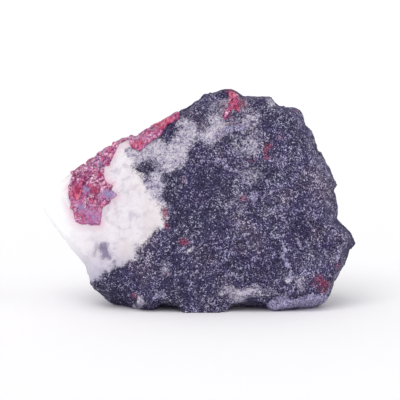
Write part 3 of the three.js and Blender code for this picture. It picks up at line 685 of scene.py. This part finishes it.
def cinnabar_material(look):
    """Cinnabar crystals with an adamantine lustre: small faces that each shine
    between rose and crimson, their crimson lightened by a painted sheen, thin
    dark crimson seams of painted shade, some faces with a painted steely
    lavender reflection, and a scarlet glow where they are thin."""
    made, tree, mm, marks = new_material("crystalline cinnabar", (
        "tint", "crevice", "glow", "steel", "deep", "plate"))
    drift = add_node(tree, NOISE, {"Vector": mm, "Scale": 1 / 1.1, "Detail": 4.0,
                                   "Roughness": 0.7, "Distortion": 0.5})
    # The small faces are 0.6 mm wide and about twice as tall, as the crystals
    # stand, and the turn keeps them out of line. The flecks on them are 0.22 mm
    # wide; real ones are finer.
    upright = add_node(tree, "ShaderNodeMapping", {
        "Vector": mm, "Rotation": (0.3, 0.6, 0), "Scale": (1.5, 1.0, 0.8)})
    wander = add_node(tree, NOISE, {"Vector": mm, "Scale": 1 / 1.0, "Detail": 3.0}, "Color")
    bent = add_node(tree, MIX, {0: 0.35, 4: upright, 5: wander}, 1, data_type="VECTOR")
    small = {"Vector": bent, "Scale": 1 / 0.6}
    chips = add_node(tree, CELLS, small, "Color")
    seams = add_node(tree, CELLS, small, "Distance", feature="DISTANCE_TO_EDGE")
    flecks = add_node(tree, SPLIT, {0: add_node(
        tree, CELLS, {"Vector": mm, "Scale": 1 / 0.22}, "Color")}, "Red")
    chip = add_node(tree, SPLIT, {0: chips}, "Red")
    ruby = add_node(tree, SPLIT, {0: chips}, "Green")
    width = add_node(tree, RANGE, {0: drift, LOW: 0.42, HIGH: 0.66, AT_LOW: 0.04, AT_HIGH: 0.2})
    seam = add_node(tree, RANGE, {0: seams, LOW: 0.01, HIGH: width, AT_LOW: 1.0, AT_HIGH: 0.0})

    # The tone runs from crevice to glint. Pits darken the darkest flecks with painted
    # shade, the deep places get painted shade, and the large plates are calm.
    rugged = add_node(tree, RANGE, {0: marks["plate"], AT_LOW: 1.0, AT_HIGH: 0.3})
    pits = add_node(tree, RANGE, {0: flecks, HIGH: 0.25, AT_LOW: -0.7, AT_HIGH: 0.0})
    mottle = weighed_sum(tree, -0.93, (chip, 0.75), (flecks, 1.0), (marks["tint"], 0.34),
                         (pits, 1.0))
    mottle = add_node(tree, MATH, {0: mottle, 1: rugged}, operation="MULTIPLY")
    tone = weighed_sum(tree, look.paleness - 1.1, (mottle, 1.0), (drift, 2.2),
                       (marks["deep"], -0.45))
    colour = add_node(tree, RAMP, {"Fac": tone}, stops=(
        (0.0, look.crevice), (1.0, look.glint),
        (0.22, between(look.crevice, look.crystal, 0.5)), (0.42, look.crystal),
        (0.65, look.rose), (0.84, look.pink)))
    rosy = weighed_sum(tree, ruby, (drift, 1.5))
    rosy = add_node(tree, RANGE, {0: rosy, LOW: 1.3, HIGH: 1.6, AT_HIGH: 0.5})
    colour = add_node(tree, MIX, {0: rosy, UNDER: colour, OVER: (*look.glow, 1)}, **PAINT)
    # Painted steely reflection on the large smooth faces.
    plain = add_node(tree, RANGE, {0: marks["plate"], AT_HIGH: 0.3})
    colour = add_node(tree, MIX, {0: plain, UNDER: colour, OVER: (*look.steel_reflection, 1)}, **PAINT)
    # Glow and the painted steely reflection show in their spots, with edges that
    # the drift breaks up.
    bright = weighed_sum(tree, -1.75, (drift, 3.0), (flecks, 0.5))
    hot = weighed_sum(tree, bright, (marks["glow"], 1.1))
    hot = add_node(tree, RANGE, {0: hot, LOW: 0.45, HIGH: 0.95, AT_HIGH: 0.85})
    glow = add_node(tree, RAMP, {"Fac": chip}, stops=(
        (0.1, between((0, 0, 0), look.glow, 0.6)),
        (0.95, between(look.glow, (1, 0.6, 0.75), 0.25)), (0.5, look.glow)))
    colour = add_node(tree, MIX, {0: hot, UNDER: colour, OVER: glow}, **PAINT)
    cold = weighed_sum(tree, bright, (marks["steel"], 1.1))
    cold = add_node(tree, RANGE, {0: cold, LOW: 0.4, HIGH: 0.9, AT_HIGH: 0.85})
    colour = add_node(tree, MIX, {0: cold, UNDER: colour, OVER: (*look.steel_reflection, 1)}, **PAINT)
    # Painted shade in the seams and crevices between the crystals.
    lines = add_node(tree, MATH, {0: seam, 1: rugged}, operation="MULTIPLY")
    lines = add_node(tree, MATH, {0: lines, 1: 0.8}, operation="MULTIPLY")
    lines = weighed_sum(tree, lines, (marks["crevice"], 0.6))
    lines = add_node(tree, RANGE, {0: lines, AT_HIGH: 0.92})
    colour = add_node(tree, MIX, {0: lines, UNDER: colour, OVER: (*look.crevice, 1)}, **PAINT)
    # The IOR is cinnabar's. The level is low, as only few of the tiny faces are
    # turned to the light at once, and the sheen is painted into the colours instead.
    rough = add_node(tree, RANGE, {0: chip, AT_LOW: 0.18, AT_HIGH: 0.42})
    bumps = add_node(tree, BUMP, {"Strength": 0.5, "Distance": 0.2 * MM, "Height": chip})
    shader = add_node(tree, "ShaderNodeBsdfPrincipled", {
        "Base Color": colour, "Roughness": rough, "IOR": 2.9, "Specular IOR Level": 0.07,
        "Normal": bumps})
    add_node(tree, "ShaderNodeOutputMaterial", {"Surface": shader})
    return made


def floor_material(look):
    """Matt white painted board, which keeps the ground even and pale."""
    made, tree, mm, _ = new_material("matt white board")
    # The paint's tone drifts by a hundredth over about 17 mm.
    tooth = add_node(tree, NOISE, {"Vector": mm, "Scale": 0.06})
    paint = add_node(tree, MIX, {
        0: tooth, UNDER: (*look.floor_colour, 1),
        OVER: (*(c * 0.99 for c in look.floor_colour), 1)}, **PAINT)
    shader = add_node(tree, "ShaderNodeBsdfPrincipled", {"Base Color": paint, "Roughness": 0.9})
    add_node(tree, "ShaderNodeOutputMaterial", {"Surface": shader})
    return made


# --- Settings


def swatch(name, description, code):
    """A colour that the user can set, given as an sRGB hex code."""
    return FloatVectorProperty(name=name, description=description, default=linear(code),
                               size=3, min=0, max=1, subtype="COLOR")


def length(name, description, usual, least, most):
    """A length that the user can set, given in millimetres."""
    return FloatProperty(name=name, description=description, default=usual * MM,
                         min=least * MM, max=most * MM, unit="LENGTH", subtype="DISTANCE")


class StoneSettings(bpy.types.PropertyGroup):
    """Sizes of the stone's relief, and its colours."""

    net: length("Net", "Width of the smallest faces on the stone", 0.32, 0.2, 2)
    swell: length("Swell", "Height of the broad undulation of the broken faces", 0.40, 0, 2)
    chips: length("Chips", "Height of the flat chips that the rock breaks into", 0.75, 0, 3)
    grain: length("Grain", "Height of the sugary grain", 0.22, 0, 1)
    sink: length("Sink", "Greatest depth of the stone's skin under the cinnabar", 1.3, 0, 2)
    paleness: FloatProperty(
        name="Paleness", description="Tone of most grains, from shadow to glint",
        default=0.36, min=0, max=1)
    rock: swatch("Rock", "Colour of most of the dolostone's grains", "#4c4566")
    rock_shadow: swatch("Rock shadow", "Colour of the darkest grains", "#231e38")
    rock_glint: swatch("Rock glint", "Colour of the palest grains", "#c2bbd6")
    dusting: swatch("Dusting", "Colour of the calcite dusted through the dolostone", "#aea6c0")
    rust: swatch("Rust", "Colour of the rusty places in the dusting", "#c3a796")
    # Painted highlights on the ridges, on partly bruised rock.
    bruise_and_highlight: swatch("Bruise", "Colour of most grains on the bruised ridges", "#9c94bd")
    bruise_and_highlight_glint: swatch("Bruise glint", "Colour of the palest grains on the ridges", "#d3cdec")
    calcite: swatch("Calcite", "Colour of the massive calcite", "#e4dde4")
    cloud: swatch("Cloud", "Colour of the grey clouds in the calcite", "#958da6")
    cream: swatch("Cream", "Colour of the creamy patches in the calcite", "#e3d9d9")
    # Painted light for the calcite's far end.
    far_end: swatch("Far end", "Colour of the calcite's far end", "#fcfbfd")
    # Painted shade for the calcite's foot.
    foot: swatch("Foot", "Colour of the calcite's foot", "#b4aec4")
    # Painted glow of the crust on the calcite.
    blush: swatch("Blush", "Colour of the calcite next to the crust", "#e3a5c0")
    stain: swatch("Stain", "Colour of the cinnabar soaked into the stone", "#8f2450")


class CinnabarSettings(bpy.types.PropertyGroup):
    """Sizes of the crystals in the crust, and their colours."""

    net: length("Net", "Width of the smallest faces on the crust", 0.15, 0.1, 1)
    easing: IntProperty(
        name="Easing", description="Rounds of softening before the faces are cut",
        default=5, min=0, max=60)
    facet: length("Facet", "Width of a large crystal face", 1.6, 0.3, 8)
    relief: length("Relief", "Height of the crystal faces over one another", 0.28, 0, 3)
    swelling: length("Swelling", "Growth of the softened crust over its seam", 0.15, 0, 1)
    paleness: FloatProperty(
        name="Paleness", description="Tone of most faces, from crevice to glint",
        default=0.53, min=0, max=1)
    # Cinnabar's crimson, lightened by a painted sheen to these colours; the glint is a painted
    # sparkle.
    crystal: swatch("Crystal", "Colour of most of the crystal faces", "#bd68a8")
    rose: swatch("Rose", "Colour of the lighter faces", "#cf7fb0")
    pink: swatch("Pink", "Colour of the faces turned to the light", "#e29abf")
    glint: swatch("Glint", "Colour of the brightest sparkles", "#f4cfe0")
    # Painted shade in the seams between the crystals.
    crevice: swatch("Crevice", "Colour of the seams between the crystals", "#6c1048")
    glow: swatch("Glow", "Colour where the crystals are thin and let light through", "#d02455")
    # Painted steely reflection on the crystal faces.
    steel_reflection: swatch("Tarnish", "Colour of the tarnished faces", "#9089b6")


class StageSettings(bpy.types.PropertyGroup):
    """Floor, lights and camera."""

    floor_colour: swatch("Floor", "Colour of the board", "#fbfafc")
    floor_radius: length(
        "Floor radius", "Radius of the flat middle of the board", 1200, 500, 5000)
    sky: FloatProperty(
        name="Surround", description="Strength of the even light from all round",
        default=0.72, min=0, max=5)
    key: FloatProperty(
        name="Key light", description="Strength of the light above on the left, in W/m2",
        default=1.0, min=0, max=100)
    fill: FloatProperty(
        name="Fill light", description="Strength of the light low on the right, in W/m2",
        default=0.6, min=0, max=100)
    spread: FloatProperty(
        name="Spread", description="Angle that each soft light takes up in the sky",
        default=math.radians(45), min=0, max=math.pi, unit="ROTATION", subtype="ANGLE")
    lens: FloatProperty(
        name="Lens", description="Focal length of the camera", default=150.0,
        min=20, max=400, subtype="DISTANCE_CAMERA", unit="CAMERA")
    distance: length("Distance", "From the camera to its aim", 339.2, 100, 3000)
    elevation: FloatProperty(
        name="Elevation", description="Angle of the camera above the level",
        default=math.radians(6.3), min=0, max=math.pi / 2, unit="ROTATION", subtype="ANGLE")
    aim: FloatVectorProperty(
        name="Aim", description="Point that the camera looks at",
        default=(0.21 * MM, 0.0, 20.64 * MM), size=3, unit="LENGTH", subtype="TRANSLATION")


class SpecimenSettings(bpy.types.PropertyGroup):
    """All settings of the specimen."""

    stone: PointerProperty(type=StoneSettings)
    cinnabar: PointerProperty(type=CinnabarSettings)
    stage: PointerProperty(type=StageSettings)


# --- Pieces

CINNABAR_PIECES = {"cinnabar_crust": "crystal_crust", "cinnabar_patch": "crystal_patch"}

# In millimetres: how far the cinnabar grows before it is joined to the stone, so
# that no seam stays open between them, how far apart the points are that stand
# for the bare hollows, the longest gap that is measured, and how near the
# cinnabar a point of the stone has to be to lie under it.
SEAM_FILL = 0.2
HOLLOW_SPACING = 0.3
GAP_REACH = 3.0
COVER_REACH = 1.5
# One in three of the cinnabar's points is enough to measure from.
GAP_STEP = 3
# Width of a small crystal face as a share of a large one's.
SMALL_FACET = 0.42


class SPECIMEN_OT_make_stone(bpy.types.Operator):
    """Make the broken dolostone with its calcite end"""

    bl_idname = "specimen.make_stone"
    bl_label = "Make the stone"

    def execute(self, context):
        look = context.scene.specimen.stone
        parts = [merged_node("matrix_stone")]
        hollows = scattered_on(*parts[0], HOLLOW_SPACING)
        clouds = []
        for name, dressed in CINNABAR_PIECES.items():
            points, triangles = merged_node(name)
            skin = rows(bpy.data.objects[dressed].data.vertices, "co")
            clouds.append(skin[::GAP_STEP] / MM)
            parts.append((points + outward(points, triangles) * SEAM_FILL, triangles))
        stone = evened("dolostone_and_calcite", *joined(parts), look.net / MM)
        mesh = stone.data
        points = rows(mesh.vertices, "co")
        gap = gap_to(points, np.concatenate(clouds), GAP_REACH)
        covered = np.zeros(len(points))
        near = gap < COVER_REACH
        covered[near] = gap_to(points[near], hollows, GAP_REACH)
        height = stone_relief(points, covered, look)
        points += rows(mesh.vertex_normals, "vector") * height[:, None]
        points[:, 2] = np.maximum(points[:, 2], 0)
        for name, values in stone_masks(points, gap).items():
            store(mesh, name, values)
        mesh.vertices.foreach_set("co", (points * MM).ravel())
        mesh.shade_smooth()
        mesh.update()
        mesh.materials.append(stone_material(look))
        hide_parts("matrix_stone")
        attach(stone, "root")
        return {"FINISHED"}


def stone_relief(points, covered, look):
    """Height to move each point along its normal: a broad swell, with flat chips
    of two sizes and the grain on top of it, both about half as high on the
    calcite. The calcite stands a fifth of a millimetre proud, and the flat base
    stays flat. Where cinnabar covers the stone, the skin goes down by three
    quarters of the cover's thickness, as far as the sink, so that it comes up
    to the surface at the crust's rim."""
    calcite = smooth_step(calcite_depth(face_places(points)), low=-0.5, high=1.5)
    swell = look.swell / MM * layered_noise(points, size=7.0, layers=2, salt=11)
    chips = look.chips / MM * (0.6 * broken_facets(points, size=4.2, salt=21)[0]
                               + 0.3 * broken_facets(points, size=1.7, salt=31)[0])
    grain = look.grain / MM * layered_noise(points, size=1.1, layers=2, salt=51)
    rough = swell + (1 - 0.55 * calcite) * chips + (1 - 0.6 * calcite) * grain
    rough -= 0.2 * (1 - calcite)
    under = smooth_step(covered, low=0.1, high=0.5)
    free = (1 - under) * smooth_step(points[:, 2], low=0.2, high=1.5)
    return rough * free - np.minimum(covered * 0.75, look.sink / MM)


class SPECIMEN_OT_make_cinnabar(bpy.types.Operator):
    """Make the crust and the patch of cinnabar"""

    bl_idname = "specimen.make_cinnabar"
    bl_label = "Make the cinnabar"

    def execute(self, context):
        look = context.scene.specimen.cinnabar
        lustre = cinnabar_material(look)
        for node, name in CINNABAR_PIECES.items():
            piece = evened(name, *merged_node(node), look.net / MM)
            mesh = piece.data
            points = relaxed(mesh, rows(mesh.vertices, "co"), look.easing)
            places = cinnabar_masks(points)
            height, marks = crystal_relief(points, 1 - places["plate"], look)
            mesh.vertices.foreach_set("co", (points * MM).ravel())
            mesh.update()
            points += rows(mesh.vertex_normals, "vector") * height[:, None]
            for mark, values in {**marks, **places}.items():
                store(mesh, mark, values)
            mesh.vertices.foreach_set("co", (points * MM).ravel())
            mesh.shade_smooth()
            mesh.update()
            mesh.materials.append(lustre)
            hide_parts(node)
            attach(piece, "root")
        return {"FINISHED"}


def relaxed(mesh, points, rounds):
    """Points eased towards their neighbours: in each round every point moves
    half way to the mean of the points that it shares an edge with."""
    a, b = rows(mesh.edges, "vertices", width=2, kind=int).T
    count = np.bincount(np.concatenate([a, b]), minlength=len(points))
    for _ in range(rounds):
        total = np.stack([
            np.bincount(a, points[b, i], len(points)) + np.bincount(b, points[a, i], len(points))
            for i in range(3)], axis=1)
        points = 0.5 * (points + total / count[:, None])
    return points


def crystal_relief(points, rugged, look):
    """Height to move each point along its normal, and the marks that go with
    it: flat crystal faces of two sizes, each with a level and a tilt of its
    own, and a crevice where two large ones meet, all of them rising with the
    ruggedness from 0 to 1, on top of the swelling."""
    broad, tint, meeting = broken_facets(points, size=look.facet / MM, salt=101)
    small, fleck, _ = broken_facets(points, size=look.facet / MM * SMALL_FACET, salt=111)
    crevice = rugged * (1 - smooth_step(meeting, low=0.0, high=0.12))
    faces = rugged * (broad + 0.4 * small) - 0.2 * crevice
    height = look.relief / MM * faces + look.swelling / MM
    return height, {"tint": 0.65 * tint + 0.35 * fleck, "crevice": crevice}


# --- Stage

# The board's rim has this many rings of points, and the board this many sides.
BEND_RINGS = 17
SIDES = 96
# Places that the two lights shine from, towards the origin.
KEY_FROM = (-0.25, -0.45, 0.75)
FILL_FROM = (0.8, -0.15, 0.3)


class SPECIMEN_OT_make_stage(bpy.types.Operator):
    """Set the pale board, the soft lights and the camera"""

    bl_idname = "specimen.make_stage"
    bl_label = "Set the stage"

    def execute(self, context):
        look = context.scene.specimen.stage
        floor = make_board(look)
        light_softly(context.scene, look)
        place_camera(context.scene, look)
        context.scene.view_settings.view_transform = "Standard"
        return {"FINISHED"}


def make_board(look):
    """A round board whose rim curves up: the profile runs flat from the middle
    to the radius, then along a quarter circle, and is turned about the z axis."""
    flat = look.floor_radius * np.array([0.02, 0.2, 0.5, 0.8])
    bend = np.linspace(0, math.pi / 2, BEND_RINGS)
    rise = 0.6 * look.floor_radius
    radii = np.concatenate([flat, look.floor_radius + rise * np.sin(bend)])
    heights = np.concatenate([np.zeros(len(flat)), rise * (1 - np.cos(bend))])
    turns = np.linspace(0, 2 * math.pi, SIDES, endpoint=False)
    rings = np.stack([np.outer(radii, np.cos(turns)), np.outer(radii, np.sin(turns)),
                      np.repeat(heights[:, None], SIDES, axis=1)], axis=2)
    ring, step = np.meshgrid(np.arange(len(radii) - 1), np.arange(SIDES), indexing="ij")
    inner, after = ring * SIDES, (step + 1) % SIDES
    outer = inner + SIDES
    faces = np.stack([inner + step, outer + step, outer + after, inner + after], axis=2)
    board = mesh_object("board", rings.reshape(-1, 3).tolist(),
                        faces.reshape(-1, 4).tolist() + [list(range(SIDES))])
    board.data.shade_smooth()
    board.data.materials.append(floor_material(look))
    return board


def light_softly(scene, look):
    """An even white surround, one large soft light above on the left and a
    weaker one low on the right."""
    world = bpy.data.worlds.new("white surround")
    world.use_nodes = True
    glow = world.node_tree.nodes["Background"].inputs
    glow["Strength"].default_value = look.sky
    glow["Color"].default_value = (1, 1, 1, 1)
    scene.world = world
    for name, power, place in (("soft key", look.key, KEY_FROM),
                               ("soft fill", look.fill, FILL_FROM)):
        lamp = bpy.data.lights.new(name, "SUN")
        lamp.energy = power
        lamp.angle = look.spread
        light = in_scene(name, lamp)
        light.location = place
        light.rotation_mode = "QUATERNION"
        light.rotation_quaternion = (-light.location).to_track_quat("-Z", "Y")


def place_camera(scene, look):
    """The camera stands back from its aim by the distance, raised by the
    elevation, and looks at it without a roll."""
    lens = bpy.data.cameras.new("camera")
    lens.lens = look.lens
    lens.clip_start, lens.clip_end = 0.01, 20
    camera = in_scene("camera", lens)
    back = Vector((0, -math.cos(look.elevation), math.sin(look.elevation)))
    camera.location = Vector(look.aim) + back * look.distance
    camera.rotation_mode = "QUATERNION"
    camera.rotation_quaternion = back.to_track_quat("Z", "Y")
    scene.camera = camera


class SPECIMEN_PT_panel(bpy.types.Panel):
    """Lists the specimen's pieces and stage"""

    bl_idname = "SPECIMEN_PT_panel"
    bl_label = "Cinnabar specimen"
    bl_space_type = "VIEW_3D"
    bl_region_type = "UI"
    bl_category = "Specimen"

    def draw(self, context):
        for operator in OPERATORS:
            self.layout.operator(operator.bl_idname)


# The cinnabar comes first, because the stone is fitted under it.
OPERATORS = (SPECIMEN_OT_make_cinnabar, SPECIMEN_OT_make_stone, SPECIMEN_OT_make_stage)
CLASSES = (StoneSettings, CinnabarSettings, StageSettings, SpecimenSettings, *OPERATORS,
           SPECIMEN_PT_panel)


def register():
    for one in CLASSES:
        bpy.utils.register_class(one)
    bpy.types.Scene.specimen = PointerProperty(type=SpecimenSettings)


def unregister():
    del bpy.types.Scene.specimen
    for one in reversed(CLASSES):
        bpy.utils.unregister_class(one)


def main():
    register()
    for operator in OPERATORS:
        group, name = operator.bl_idname.split(".")
        getattr(getattr(bpy.ops, group), name)()


if __name__ == "__main__":
    main()
